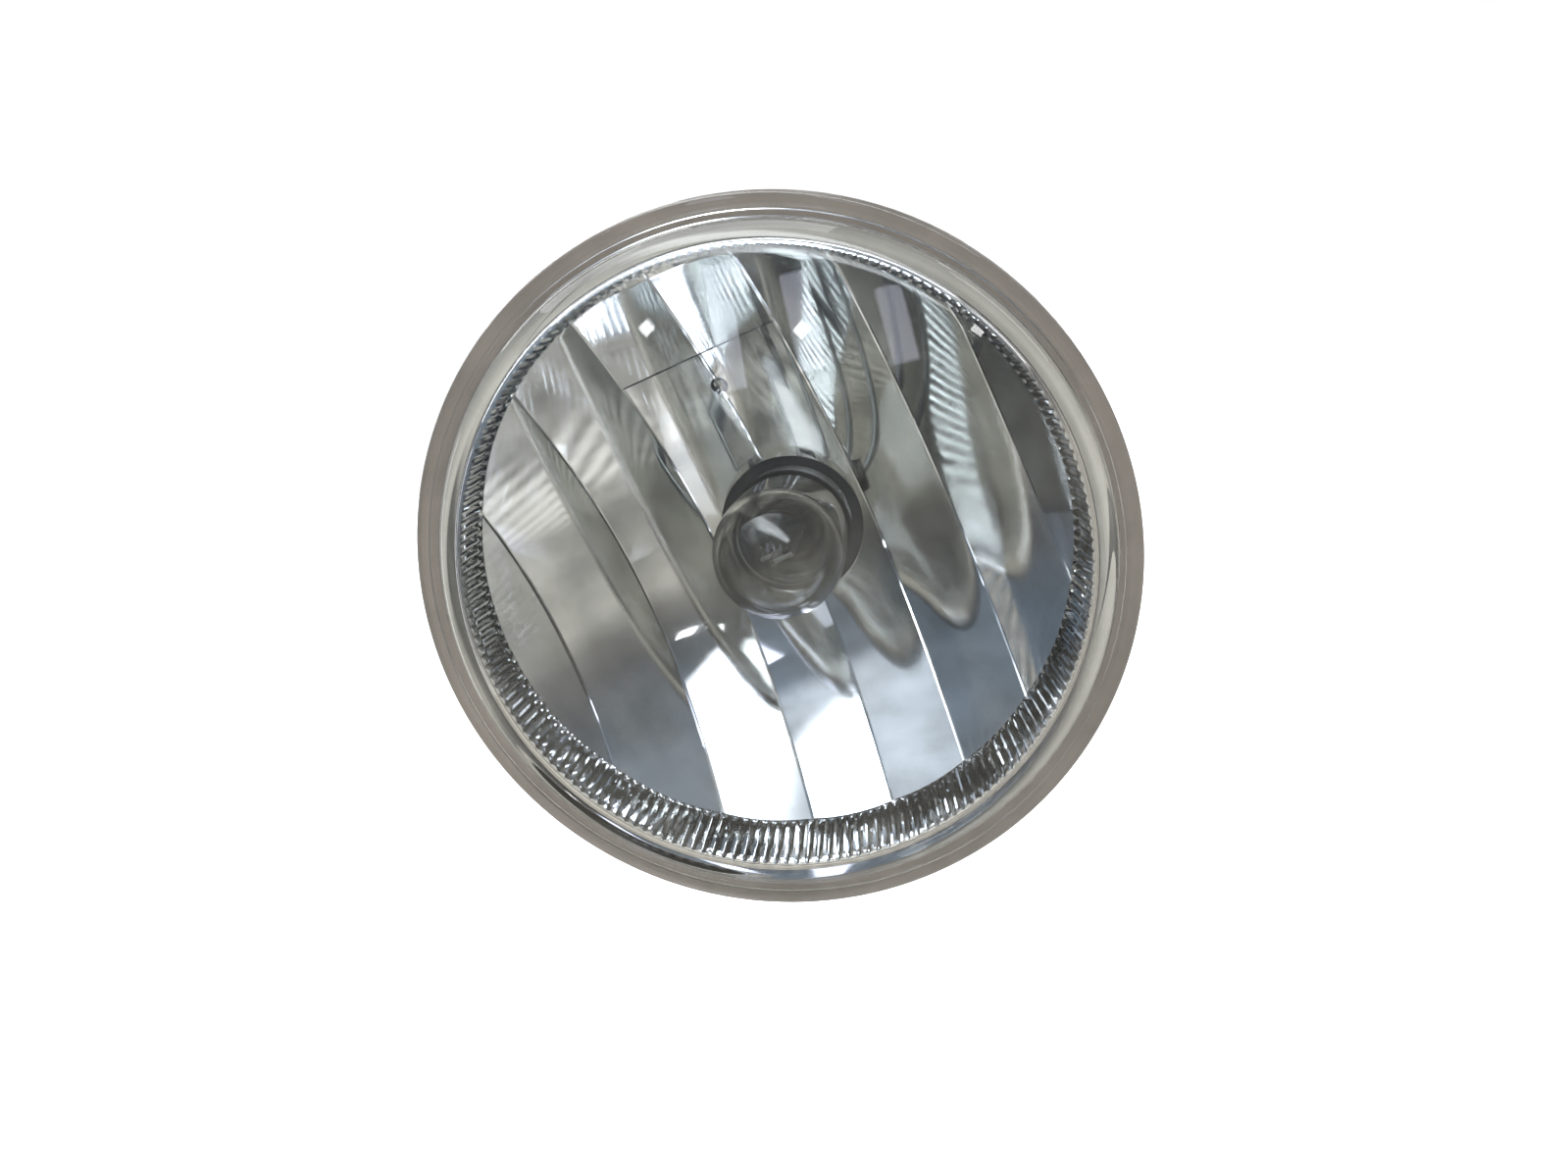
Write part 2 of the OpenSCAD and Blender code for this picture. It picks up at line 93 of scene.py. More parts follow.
# ---------------------------------------------------------------- node materials
COAT_ROUGH = 0.35
RAMP_ENDS, SPREAD_ENDS = (0.35, 0.65), (0.3, 0.7)
BROAD_SCALE, HAZE_SCALE, MIRROR_HAZE_SCALE = 60.0, 220.0, 140.0
CLEAR_ROUGH, CLEAR_RIPPLE_SCALE = (0.0, 0.02), 90.0
MIRROR_ROUGH, MIRROR_RIPPLE_SCALE, MIRROR_RIPPLE_MM = (0.02, 0.085), 120.0, 0.006
DUST_COLOUR = (0.80, 0.78, 0.74, 1)
MIRROR_DULL, MIRROR_BRIGHT = (0.80, 0.81, 0.82, 1), (0.90, 0.91, 0.92, 1)


def new_material(name):
    mat = bpy.data.materials.new(name)
    mat.use_nodes = True
    tree = mat.node_tree
    shader = next(n for n in tree.nodes if n.type == "BSDF_PRINCIPLED")
    return mat, tree, shader


def add_node(tree, kind, inputs=(), **settings):
    node = tree.nodes.new(kind)
    for key, value in settings.items():
        setattr(node, key, value)
    for key, value in dict(inputs).items():
        node.inputs[key].default_value = value
    return node


def noise(tree, scale, detail, rough):
    """Noise in object space, so the pattern stays on the piece."""
    coord = add_node(tree, "ShaderNodeTexCoord")
    tex = add_node(tree, "ShaderNodeTexNoise",
                   {"Scale": scale, "Detail": detail, "Roughness": rough})
    tree.links.new(coord.outputs["Object"], tex.inputs["Vector"])
    return tex.outputs["Fac"]


def ramp(tree, source, low, high):
    """Two colours, blended by the middle part of a noise."""
    node = add_node(tree, "ShaderNodeValToRGB")
    for element, place, colour in zip(node.color_ramp.elements, RAMP_ENDS, (low, high)):
        element.position, element.color = place, colour
    tree.links.new(source, node.inputs["Fac"])
    return node.outputs["Color"]


def spread(tree, source, low, high):
    """A value between low and high, from the middle part of a noise."""
    start, end = SPREAD_ENDS
    node = add_node(tree, "ShaderNodeMapRange",
                    {"From Min": start, "From Max": end, "To Min": low, "To Max": high})
    tree.links.new(source, node.inputs["Value"])
    return node.outputs["Result"]


def bump(tree, shader, height, depth_mm):
    node = add_node(tree, "ShaderNodeBump", {"Distance": depth_mm * MM, "Strength": 1.0})
    tree.links.new(height, node.inputs["Height"])
    tree.links.new(node.outputs["Normal"], shader.inputs["Normal"])


def rgba(colour, gain=1.0):
    """A colour with its alpha, made brighter or darker by the gain."""
    return tuple(min(1.0, c * gain) for c in colour) + (1.0,)


def surface(name, colour, rough=(0.4, 0.55), metal=0.0, grain_mm=0.5, grain_depth=0.02,
            vary=0.12, coat=0.0):
    """A solid finish: colour that varies a little, uneven gloss and a fine grain."""
    mat, tree, shader = new_material(name)
    broad = noise(tree, BROAD_SCALE, 5.0, 0.6)
    fine = noise(tree, 1.0 / (grain_mm * MM), 3.0, 0.6)
    tree.links.new(ramp(tree, broad, rgba(colour, 1 - vary), rgba(colour, 1 + vary)),
                   shader.inputs["Base Color"])
    tree.links.new(spread(tree, broad, *rough), shader.inputs["Roughness"])
    shader.inputs["Metallic"].default_value = metal
    shader.inputs["Coat Weight"].default_value = coat
    shader.inputs["Coat Roughness"].default_value = COAT_ROUGH
    bump(tree, shader, fine, grain_depth)
    return mat


def clear(name, colour, ior, ripple_mm=0.004, dust=0.0):
    """Clear glass or plastic that lets the lights through, with a thin uneven film of dust."""
    mat, tree, shader = new_material(name)
    shader.inputs["Transmission Weight"].default_value = 1.0
    shader.inputs["IOR"].default_value = ior
    haze = noise(tree, HAZE_SCALE, 6.0, 0.65)
    tree.links.new(ramp(tree, haze, rgba(colour, 0.97), rgba(colour)),
                   shader.inputs["Base Color"])
    tree.links.new(spread(tree, haze, *CLEAR_ROUGH), shader.inputs["Roughness"])
    bump(tree, shader, noise(tree, CLEAR_RIPPLE_SCALE, 2.0, 0.4), ripple_mm)
    lamp_rays = add_node(tree, "ShaderNodeLightPath")
    open_glass = add_node(tree, "ShaderNodeBsdfTransparent", {"Color": rgba(colour, 0.95)})
    mix = add_node(tree, "ShaderNodeMixShader")
    output = next(n for n in tree.nodes if n.type == "OUTPUT_MATERIAL")
    film = add_node(tree, "ShaderNodeBsdfDiffuse", {"Color": DUST_COLOUR})
    dusty = add_node(tree, "ShaderNodeMixShader")
    tree.links.new(spread(tree, haze, dust * 0.7, dust * 1.3), dusty.inputs[0])
    tree.links.new(shader.outputs[0], dusty.inputs[1])
    tree.links.new(film.outputs[0], dusty.inputs[2])
    tree.links.new(lamp_rays.outputs["Is Shadow Ray"], mix.inputs[0])
    tree.links.new(dusty.outputs[0], mix.inputs[1])
    tree.links.new(open_glass.outputs[0], mix.inputs[2])
    tree.links.new(mix.outputs[0], output.inputs["Surface"])
    return mat


def mirror_coating():
    """A vacuum-coated mirror with a faint uneven haze."""
    mat, tree, shader = new_material("mirror_coating")
    haze = noise(tree, MIRROR_HAZE_SCALE, 6.0, 0.6)
    tree.links.new(ramp(tree, haze, MIRROR_DULL, MIRROR_BRIGHT),
                   shader.inputs["Base Color"])
    tree.links.new(spread(tree, haze, *MIRROR_ROUGH), shader.inputs["Roughness"])
    shader.inputs["Metallic"].default_value = 1.0
    bump(tree, shader, noise(tree, MIRROR_RIPPLE_SCALE, 2.0, 0.5), MIRROR_RIPPLE_MM)
    return mat


MATS = {
    "lens_clear": clear("lens_clear", (0.93, 0.945, 0.96), 1.5, dust=0.012),
    "bulb_glass": clear("bulb_glass", (0.66, 0.67, 0.65), 1.5, ripple_mm=0.01),
    "mirror_coat": mirror_coating(),
    "housing_plastic": surface("housing_plastic", (0.255, 0.208, 0.165), (0.42, 0.6), grain_mm=0.4),
    "bracket_paint": surface("bracket_paint", (0.03, 0.03, 0.032), (0.3, 0.48), 0.0, 1.1, 0.03,
                             0.18, coat=0.3),
    "zinc_steel": surface("zinc_steel", (0.62, 0.63, 0.65), (0.22, 0.4), 1.0, 0.25, 0.008),
    "spring_steel": surface("spring_steel", (0.16, 0.15, 0.15), (0.3, 0.45), 1.0, 0.25, 0.008),
    "brass": surface("brass", (0.75, 0.55, 0.24), (0.25, 0.42), 1.0, 0.25, 0.008),
    "nylon": surface("nylon", (0.72, 0.70, 0.61), (0.35, 0.5), 0.0, 0.5, 0.01, 0.05),
    "ring_plastic": surface("ring_plastic", (0.09, 0.09, 0.095), (0.3, 0.45), 0.0, 0.5, 0.015),
    "base_plastic": surface("base_plastic", (0.035, 0.035, 0.04), (0.35, 0.5), 0.0, 0.5, 0.02),
    "rubber_black": surface("rubber_black", (0.02, 0.02, 0.02), (0.6, 0.8), 0.0, 0.35, 0.03),
    "silicone": surface("silicone", (0.42, 0.07, 0.03), (0.45, 0.6), 0.0, 0.6, 0.02),
    "sealant": surface("sealant", (0.32, 0.28, 0.235), (0.5, 0.7), 0.0, 0.8, 0.05),
    "membrane": surface("membrane", (0.75, 0.75, 0.72), (0.8, 0.95), 0.0, 0.2, 0.03),
    "collar_steel": surface("collar_steel", (0.6, 0.6, 0.61), (0.12, 0.25), 1.0, 0.4, 0.006),
    "wire_steel": surface("wire_steel", (0.35, 0.35, 0.34), (0.25, 0.4), 1.0, 0.15, 0.004),
    "tungsten": surface("tungsten", (0.22, 0.21, 0.2), (0.4, 0.55), 1.0, 0.1, 0.004),
}
SLOT_OF = {s["node"]: s["material_slot"] for s in frame["record"]["subparts"]}
BODY_OF = {n: b for b, ns in frame["record"]["behaviour"]["bodies"].items() for n in ns}
for node, obj in frame["nodes"].items():
    obj.data.materials.clear()
    obj.data.materials.append(MATS[SLOT_OF[node]])


# ---------------------------------------------------------------- rounded edges on the CAD nodes
EDGE_MM = {
    "bracket": 0.3, "housing": 0.25, "socket_ring": 0.3, "vent_cap": 0.3,
    "bulb_collar": 0.15, "bulb_contacts": 0.1,
    "pivot_pin_left": 0.2, "pivot_pin_right": 0.2,
    "pivot_bush_left": 0.15, "pivot_bush_right": 0.15,
    "adjuster_washer": 0.15, "adjuster_clip": 0.12, "adjuster_nut": 0.15, "adjuster_bush": 0.15,
}
EDGE_SEGMENTS, EDGE_ANGLE = 2, 40
for node, width in EDGE_MM.items():
    edge = frame["nodes"][node].modifiers.new("rounded_edges", "BEVEL")
    edge.width, edge.segments = width * MM, EDGE_SEGMENTS
    edge.limit_method, edge.angle_limit = "ANGLE", math.radians(EDGE_ANGLE)
    flats = frame["nodes"][node].modifiers.new("flat_faces", "WEIGHTED_NORMAL")
    flats.mode, flats.weight, flats.keep_sharp = "FACE_AREA", 100, False


# ---------------------------------------------------------------- mesh helpers
def stand_for(obj, node):
    """The new piece takes the CAD node's place, body and finish."""
    obj.data.materials.append(MATS[SLOT_OF[node]])
    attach(obj, BODY_OF[node])
    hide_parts(node)


def add_mesh(name, verts, faces):
    mesh = bpy.data.meshes.new(name)
    mesh.from_pydata([tuple(v) for v in verts], [], faces)
    mesh.validate()
    obj = bpy.data.objects.new(name, mesh)
    bpy.context.scene.collection.objects.link(obj)
    mesh.shade_smooth()
    return obj


def around(radius, angle, depth):
    """A point about the optical axis, in metres, from a radius and a depth in millimetres."""
    return radius * math.cos(angle) * MM, FLANGE_Y + depth * MM, radius * math.sin(angle) * MM


def revolve(points, segments):
    """A closed ring of quads about the optical axis from (radius, depth) points in millimetres."""
    verts, faces = [], []
    count = len(points)
    for j in range(segments):
        angle = TAU * j / segments
        verts += [around(r, angle, d) for r, d in points]
    for j in range(segments):
        k = (j + 1) % segments
        for i in range(count):
            n = (i + 1) % count
            faces.append((j * count + i, j * count + n, k * count + n, k * count + i))
    return verts, faces


def weld(obj, distance=1e-6):
    """Joins the points on the axis, drops empty faces and turns every face outwards."""
    bm = bmesh.new()
    bm.from_mesh(obj.data)
    bmesh.ops.remove_doubles(bm, verts=bm.verts, dist=distance)
    bmesh.ops.dissolve_degenerate(bm, edges=bm.edges, dist=distance)
    bmesh.ops.delete(bm, geom=[e for e in bm.edges if not e.link_faces], context="EDGES")
    bmesh.ops.recalc_face_normals(bm, faces=bm.faces)
    bm.to_mesh(obj.data)
    bm.free()


def sharpen(obj, degrees):
    """Marks as sharp every edge whose faces meet at more than the given angle."""
    bm = bmesh.new()
    bm.from_mesh(obj.data)
    limit = math.radians(degrees)
    for edge in bm.edges:
        edge.smooth = len(edge.link_faces) == 2 and edge.calc_face_angle() < limit
    bm.to_mesh(obj.data)
    bm.free()


def arc(cr, cd, rr, rd, start, end, steps):
    """(radius, depth) points round an ellipse, with angles in degrees."""
    return [(cr + rr * math.cos(math.radians(start + (end - start) * i / steps)),
             cd + rd * math.sin(math.radians(start + (end - start) * i / steps)))
            for i in range(steps + 1)]


# ---------------------------------------------------------------- lens
DOME_H, LENS_WALL = 9.0, 2.0
DOME_EDGE_R, DOME_EDGE_D = 44.6, -2.4
SHOULDER_R, SHOULDER_TURN, FLANGE_FRONT = 46.9, 4.5, 0.4
SKIRT_OUT, SKIRT_IN, SKIRT_END = 45.2, 43.72, 5.15
INNER_DOME_R = 42.9
GROOVE_IN, GROOVE_OUT, GROOVE_D = 47.5, 48.15, 0.95
LENS_RIM_R, LENS_RIM_BACK = 49.97, 2.1
LENS_SEGMENTS, DOME_STEPS, SHOULDER_STEPS = 360, 26, 14
DOME_SAG = DOME_H + DOME_EDGE_D
DOME_BALL = (DOME_EDGE_R ** 2 + DOME_SAG ** 2) / (2 * DOME_SAG)


def dome(r, back=0.0):
    """Depth of the lens's outer face, or of one that far behind it, at a radius."""
    return -DOME_H + DOME_BALL - math.sqrt(DOME_BALL ** 2 - r * r) + back


def dome_shoulder():
    """Where the dome ends, and the round turn that carries it smoothly down to the flange."""
    centre_r = SHOULDER_R - SHOULDER_TURN
    reach = centre_r / (1 - SHOULDER_TURN / DOME_BALL)
    tilt = math.asin(reach / DOME_BALL)
    centre_d = DOME_BALL - DOME_H - (DOME_BALL - SHOULDER_TURN) * math.cos(tilt)
    end = math.degrees(math.asin((centre_d - FLANGE_FRONT) / SHOULDER_TURN))
    return reach, arc(centre_r, centre_d, SHOULDER_TURN, SHOULDER_TURN,
                      math.degrees(tilt) - 90, -end, SHOULDER_STEPS)


def build_lens():
    """Dome, shoulder, flange with its groove, and the skirt that sits in the housing's channel."""
    reach, shoulder = dome_shoulder()
    outer = [(reach * i / DOME_STEPS, dome(reach * i / DOME_STEPS)) for i in range(DOME_STEPS)]
    flange = [(SHOULDER_R + 0.12, FLANGE_FRONT), (GROOVE_IN, 0.42), (GROOVE_IN + 0.15, GROOVE_D),
              (GROOVE_OUT - 0.15, GROOVE_D + 0.02), (GROOVE_OUT, 0.44),
              (49.4, FLANGE_FRONT), (49.8, 0.52), (LENS_RIM_R, 0.85), (LENS_RIM_R, LENS_RIM_BACK),
              (SKIRT_OUT + 0.1, 2.15), (SKIRT_OUT - 0.05, 2.3),
              (SKIRT_OUT - 0.05, SKIRT_END - 0.1)]
    tail = [(SKIRT_OUT - 0.15, SKIRT_END), (SKIRT_IN, SKIRT_END), (SKIRT_IN, 0.5),
            (SKIRT_IN - 0.04, 0.0)]
    inner = [(SKIRT_IN - 0.22, -0.4)] + [
        (INNER_DOME_R * (1 - i / DOME_STEPS), dome(INNER_DOME_R * (1 - i / DOME_STEPS), LENS_WALL))
        for i in range(DOME_STEPS + 1)]
    verts, faces = revolve(outer + shoulder + flange + tail + inner, LENS_SEGMENTS)
    obj = add_mesh("lens_clear_cover", verts, faces)
    weld(obj)
    sharpen(obj, 50)
    stand_for(obj, "lens")


# ---------------------------------------------------------------- reflector
VERTEX_D, FOCAL = 29.2, 20.6
PITCH, STRIPS = 12.0, 8
MIDDLE_STRIPS = (STRIPS // 2 - 1, STRIPS // 2)
RISE = 0.5
CELLS_ACROSS, ROWS_BELOW, ROWS_ABOVE = 16, 190, 30
SIDE_INSET, SIDE_SPARE = 0.04, 0.2
HOLE_SNAP, PORT_SNAP = 1.6, 1.2
MIRROR_R, MIRROR_UP, SHELF_Z, HOLE_R = 41.55, 1.4, 42.0, 10.9
PORT_Z, PORT_R, PORT_DEPTH, PORT_TAPER = 24.2, 1.25, 1.7, 0.85
RIM_FRONT = 5.25
RIBS = 180
FLUTE = (0.48, 0.13, 0.0, 0.13)
WALL_TOP_R, WALL_TOP_D, WALL_OUT = 42.95, 0.25, 43.62
BREAK_Z, BREAK_STEP, BREAK_RISE = 29.5, 0.2, 0.42
BREAK_H, BREAK_SHARE = 0.22, 0.88
CREASE_W, CREASE_DEPTH = 0.22, 0.1
# the back of the shell: a rim that sits in the housing, a spherical bowl and the bulb's neck
SHELL_RIM_R, SHELL_RIM_BACK, SHELL_EDGE_R = 46.55, 7.15, 44.1
SHELL_BALL, SHELL_CENTRE_D, SHELL_NECK_R = 54, -24, 12.9
NECK_FRONT, NECK_BACK = 28.8, 30.5


def strip_of(x):
    """The number of the mirror strip at a place across the lamp."""
    return min(STRIPS - 1, max(0, int(math.floor(x / PITCH + STRIPS / 2))))


def mirror_depth(x, z, strip, upper):
    """Depth of one mirror strip, and its slopes across and up."""
    centre = (strip - STRIPS / 2 + 0.5) * PITCH
    rise = BREAK_RISE if upper else RISE
    u = (x - centre) / (PITCH / 2)
    depth = VERTEX_D - (x * x + z * z) / (4 * FOCAL) - rise * (1 - u * u)
    if upper:
        depth -= BREAK_STEP
    slope_x = -x / (2 * FOCAL) + rise * 2 * u / (PITCH / 2)
    slope_z = -z / (2 * FOCAL)
    return depth, slope_x, slope_z


def build_reflector():
    """Mirror strips, cut round the bulb hole and the small pocket, backed by a closed shell."""
    xs = [(-STRIPS / 2 * PITCH) + PITCH * i / CELLS_ACROSS
          for i in range(STRIPS * CELLS_ACROSS + 1)]
    edges = [(k - STRIPS / 2) * PITCH for k in range(1, STRIPS)]
    xs = sorted(xs + [x + side * CREASE_W for x in edges for side in (-1, 1)])
    edge_x = MIRROR_R - SIDE_INSET
    inside = [x for x in xs if abs(x) < edge_x - SIDE_SPARE]
    columns = [-edge_x] + inside + [edge_x]
    nx, nz = len(columns), ROWS_BELOW + ROWS_ABOVE + 2

    def place(i, j):
        """Where a grid point lies, seen from the front."""
        x = columns[i]
        half = math.sqrt(MIRROR_R ** 2 - x * x)
        low, high = MIRROR_UP - half, min(SHELF_Z, MIRROR_UP + half)
        middle = min(BREAK_Z, low + (high - low) * BREAK_SHARE)
        if j <= ROWS_BELOW:
            return x, low + (middle - low) * j / ROWS_BELOW
        start = middle + BREAK_H
        return x, start + (high - start) * (j - ROWS_BELOW - 1) / ROWS_ABOVE

    flat = [place(i, j) for i in range(nx) for j in range(nz)]
    gone = [math.hypot(x, z) < HOLE_R or math.hypot(x, z - PORT_Z) < PORT_R for x, z in flat]
    cells = []
    for i in range(nx - 1):
        for j in range(nz - 1):
            corners = (i * nz + j, (i + 1) * nz + j, (i + 1) * nz + j + 1, i * nz + j + 1)
            if not any(gone[c] for c in corners):
                cells.append((corners, i, j))
    kept = set(c for corners, _, _ in cells for c in corners)
    uses = {}
    for corners, _, _ in cells:
        for a, b in zip(corners, corners[1:] + corners[:1]):
            key = (min(a, b), max(a, b))
            uses[key] = uses.get(key, 0) + 1
    rim = set(v for key, n in uses.items() if n == 1 for v in key)
    hole = [v for v in rim if math.hypot(*flat[v]) < HOLE_R + HOLE_SNAP]
    for v in hole:
        x, z = flat[v]
        scale = HOLE_R / math.hypot(x, z)
        flat[v] = (x * scale, z * scale)
    port = [v for v in rim
            if math.hypot(flat[v][0], flat[v][1] - PORT_Z) < PORT_R + PORT_SNAP]
    for v in port:
        x, z = flat[v][0], flat[v][1] - PORT_Z
        scale = PORT_R / math.hypot(x, z)
        flat[v] = (x * scale, PORT_Z + z * scale)
    port.sort(key=lambda v: math.atan2(flat[v][1] - PORT_Z, flat[v][0]))

    verts, faces, normals = [], [], []
    index = {}
    for v in sorted(kept):
        i, j = divmod(v, nz)
        x, z = flat[v]
        strip = strip_of(x - 1e-6 if x > 0 else x + 1e-6)
        upper = strip in MIDDLE_STRIPS and j > ROWS_BELOW
        depth, _, _ = mirror_depth(x, z, strip, upper)
        if any(abs(x - edge) < 0.01 for edge in edges):
            depth += CREASE_DEPTH
        index[v] = len(verts)
        verts.append((x * MM, FLANGE_Y + depth * MM, z * MM))
    for corners, i, j in cells:
        faces.append(tuple(index[c] for c in corners))
        strip = strip_of((columns[i] + columns[i + 1]) / 2)
        upper = strip in MIDDLE_STRIPS and j >= ROWS_BELOW
        stepping = strip in MIDDLE_STRIPS and j == ROWS_BELOW
        for c in corners:
            x, z = flat[c]
            _, sx, sz = mirror_depth(x, z, strip, upper)
            if columns[i + 1] - columns[i] < CREASE_W * 1.01:
                closer = min(edges, key=lambda edge: abs(edge - columns[i] - CREASE_W / 2))
                sx += CREASE_DEPTH / CREASE_W * (1 if columns[i] + CREASE_W / 2 < closer else -1)
            if stepping:
                sz -= BREAK_STEP / BREAK_H
            normals.append(Vector((sx, -1, sz)).normalized())

    # the outline runs once round, by angle; the rim, back and neck follow the same angles
    def by_angle(loop):
        return sorted(loop, key=lambda v: math.atan2(flat[v][1], flat[v][0]))

    outline = by_angle([v for v in rim if v not in hole and v not in port])
    mouth = by_angle(hole)

    def ring(loop, radius, depth):
        """Points at the angles of another loop."""
        start = len(verts)
        for v in loop:
            angle = math.atan2(flat[v][1], flat[v][0])
            verts.append(around(radius, angle, depth))
        return list(range(start, len(verts)))

    def round_ring(radius, depth, flute=0.0):
        """Evenly spaced points, fluted by the given share."""
        start, count = len(verts), RIBS * len(FLUTE)
        for k in range(count):
            angle = -math.pi + TAU * (k + 0.5) / count
            r = radius + flute * FLUTE[k % len(FLUTE)]
            verts.append(around(r, angle, depth))
        return list(range(start, len(verts)))

    def join(a, b):
        """Quads between two loops with as many points."""
        for k in range(len(a)):
            n = (k + 1) % len(a)
            faces.append((a[k], a[n], b[n], b[k]))

    def turn(v):
        return math.atan2(verts[v][2], verts[v][0])

    def zip_loops(a, b):
        """Triangles between two loops with unlike points, in order of angle."""
        i = j = 0
        while i < len(a) or j < len(b):
            ahead_a = turn(a[i + 1]) if i + 1 < len(a) else turn(a[0]) + TAU
            ahead_b = turn(b[j + 1]) if j + 1 < len(b) else turn(b[0]) + TAU
            here_a, here_b = a[i % len(a)], b[j % len(b)]
            if j >= len(b) or (i < len(a) and ahead_a <= ahead_b):
                faces.append((here_a, a[(i + 1) % len(a)], here_b))
                i += 1
            else:
                faces.append((here_a, b[(j + 1) % len(b)], here_b))
                j += 1

    def edge_ring(outward, forward, flute=0.0):
        """Follows the mirror's edge, whose centre is a little above the lamp's axis."""
        start, count = len(verts), RIBS * len(FLUTE)
        for k in range(count):
            angle = -math.pi + TAU * (k + 0.5) / count
            edge = (MIRROR_UP * math.sin(angle)
                    + math.sqrt(MIRROR_R ** 2 - (MIRROR_UP * math.cos(angle)) ** 2))
            depth = VERTEX_D - edge ** 2 / (4 * FOCAL) - forward
            r = edge + outward + flute * FLUTE[k % len(FLUTE)]
            verts.append(around(r, angle, depth))
        return list(range(start, len(verts)))

    rings = [edge_ring(0.06, -0.1), edge_ring(0.1, 0.3, 1.0),
             round_ring(WALL_TOP_R, WALL_TOP_D, 1.0),
             round_ring(WALL_OUT - 0.12, WALL_TOP_D + 0.05), round_ring(WALL_OUT, 0.6),
             round_ring(WALL_OUT, RIM_FRONT)]
    zip_loops(rings[0], [index[v] for v in outline])
    back = [(SHELL_RIM_R, RIM_FRONT), (SHELL_RIM_R, SHELL_RIM_BACK),
            (SHELL_EDGE_R, SHELL_RIM_BACK + 0.05)]
    for k in range(1, 13):
        r = SHELL_EDGE_R - (SHELL_EDGE_R - SHELL_NECK_R) * k / 12
        back.append((r, SHELL_CENTRE_D + math.sqrt(SHELL_BALL ** 2 - r * r)))
    back.append((SHELL_NECK_R, NECK_BACK))
    rings += [round_ring(r, d) for r, d in back]
    for a, b in zip(rings, rings[1:]):
        join(b, a)
    neck = [[index[v] for v in mouth], ring(mouth, HOLE_R, NECK_FRONT),
            ring(mouth, HOLE_R, NECK_BACK)]
    for a, b in zip(neck, neck[1:]):
        join(a, b)
    zip_loops(neck[-1], rings[-1])
    floor_of_port = len(verts)
    for v in port:
        x, z = flat[v]
        verts.append((x * PORT_TAPER * MM, verts[index[v]][1] + PORT_DEPTH * MM,
                      (PORT_Z + (z - PORT_Z) * PORT_TAPER) * MM))
    pocket = list(range(floor_of_port, len(verts)))
    join([index[v] for v in port], pocket)
    faces.append(tuple(pocket))

    obj = add_mesh("reflector_mirror", verts, faces)
    mesh = obj.data
    # each strip is shaded by its own curve, everything behind it by its flat faces
    custom = []
    for p in mesh.polygons:
        if p.index < len(cells):
            order = {faces[p.index][k]: normals[p.index * 4 + k] for k in range(4)}
            for li in p.loop_indices:
                custom.append(order[mesh.loops[li].vertex_index])
        else:
            custom += [Vector(p.normal)] * p.loop_total
    mesh.normals_split_custom_set(custom)
    stand_for(obj, "reflector")


# ---------------------------------------------------------------- bulb
BULB_R, BULB_WALL, BULB_DOME_D = 9.4, 0.9, 10.0
BULB_NECK_R, BULB_NECK_D, BULB_END_D, BULB_TURN = 6.0, 28.2, 34, 2.0
BULB_SEGMENTS = 128
COIL_R, COIL_WIRE_R, COIL_TURNS, COIL_STEPS, COIL_SIDES = 0.55, 0.13, 11, 14, 8


def build_bulb_glass():
    """A tube with a domed end, drawn in to a neck."""
    inner = BULB_R - BULB_WALL
    outside = arc(0, BULB_DOME_D, BULB_R, BULB_R, -90, 0, 28)
    outside += [(BULB_R, 12), (BULB_R, 17), (BULB_R, 22)]
    outside += arc(BULB_R - BULB_TURN, 23.4, BULB_TURN, 2.2, 0, 60, 6)
    outside += [(6.6, 26.6), (BULB_NECK_R + 0.05, BULB_NECK_D), (BULB_NECK_R, BULB_END_D)]
    inside = [(BULB_NECK_R - BULB_WALL, BULB_END_D), (5.15, BULB_NECK_D), (5.7, 26.2)]
    inside += arc(inner - BULB_TURN, 23.2, BULB_TURN, BULB_TURN, 60, 0, 6)
    inside += [(inner, 17), (inner, 12)] + arc(0, BULB_DOME_D, inner, inner, 0, -90, 24)
    verts, faces = revolve(outside + inside, BULB_SEGMENTS)
    obj = add_mesh("bulb_glass_envelope", verts, faces)
    weld(obj)
    sharpen(obj, 60)
    stand_for(obj, "bulb_glass")


def tube(path, radius, sides):
    """A closed round tube along a list of points in metres."""
    verts, faces = [], []
    side = Vector((0, 0, 1))
    for k, p in enumerate(path):
        ahead = (path[min(k + 1, len(path) - 1)] - path[max(k - 1, 0)]).normalized()
        side = (side - ahead * side.dot(ahead)).normalized()
        up = ahead.cross(side)
        for s in range(sides):
            a = TAU * s / sides
            verts.append(p + (side * math.cos(a) + up * math.sin(a)) * radius)
    for k in range(len(path) - 1):
        for s in range(sides):
            t = (s + 1) % sides
            faces.append((k * sides + s, k * sides + t, (k + 1) * sides + t, (k + 1) * sides + s))
    faces.append(tuple(range(sides))[::-1])
    faces.append(tuple(len(verts) - sides + s for s in range(sides)))
    return verts, faces


def build_filament():
    low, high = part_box("bulb_filament")
    path = []
    for k in range(COIL_TURNS * COIL_STEPS + 1):
        t = k / (COIL_TURNS * COIL_STEPS)
        a = TAU * COIL_TURNS * t
        path.append(Vector((COIL_R * MM * math.cos(a), low[1] + (high[1] - low[1]) * t,
                            COIL_R * MM * math.sin(a))))
    verts, faces = tube(path, COIL_WIRE_R * MM, COIL_SIDES)
    obj = add_mesh("bulb_filament_coil", verts, faces)
    weld(obj)
    stand_for(obj, "bulb_filament")


